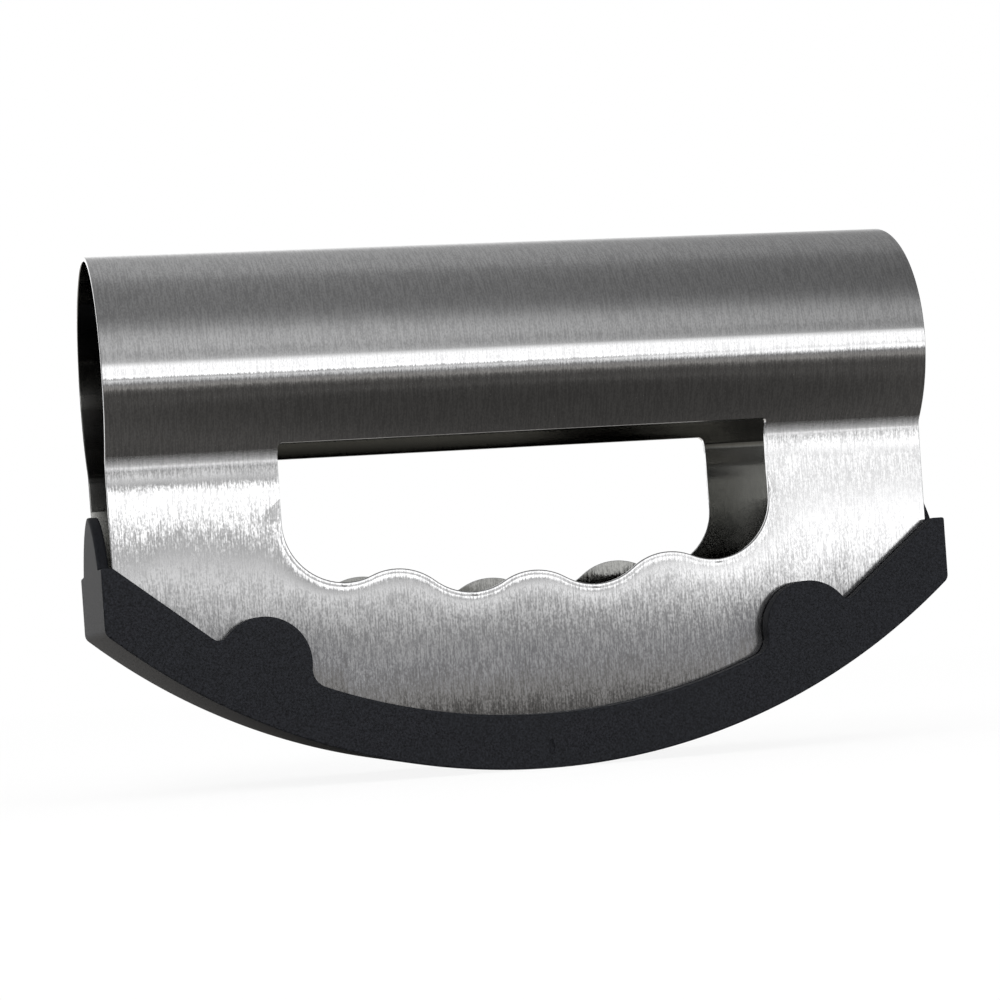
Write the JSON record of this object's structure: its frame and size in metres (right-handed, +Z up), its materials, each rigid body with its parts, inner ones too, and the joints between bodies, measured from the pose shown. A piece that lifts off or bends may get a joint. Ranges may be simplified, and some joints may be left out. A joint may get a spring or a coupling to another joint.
{
  "type": "rolling food chopper",
  "caption": "Two-bladed rolling chopper folded from one steel sheet, with a round hollow handle, a scalloped finger window and a curved pull-off blade guard.",
  "frame": {"origin": "centre of the bounding box in X and Y, at the lowest point of the guard's curved underside", "axes": "+X along the hollow handle, +Y across the two blades, +Z up from the cutting edges to the handle; the pictured side faces -Y"},
  "size_m": [0.1834, 0.055, 0.1145],
  "materials": {
    "steel": "brushed across the handle, satin",
    "guard_plastic": "fine matte texture"
  },
  "bodies": {
    "chopper": {"blade_body": "steel"},
    "guard": {"blade_guard": "guard_plastic"}
  },
  "joints": [
    {"name": "guard_pull_off", "type": "slide", "parent": "chopper", "child": "guard", "axis": [0, 0, -1], "range_m": [0, 0.065]}
  ]
}
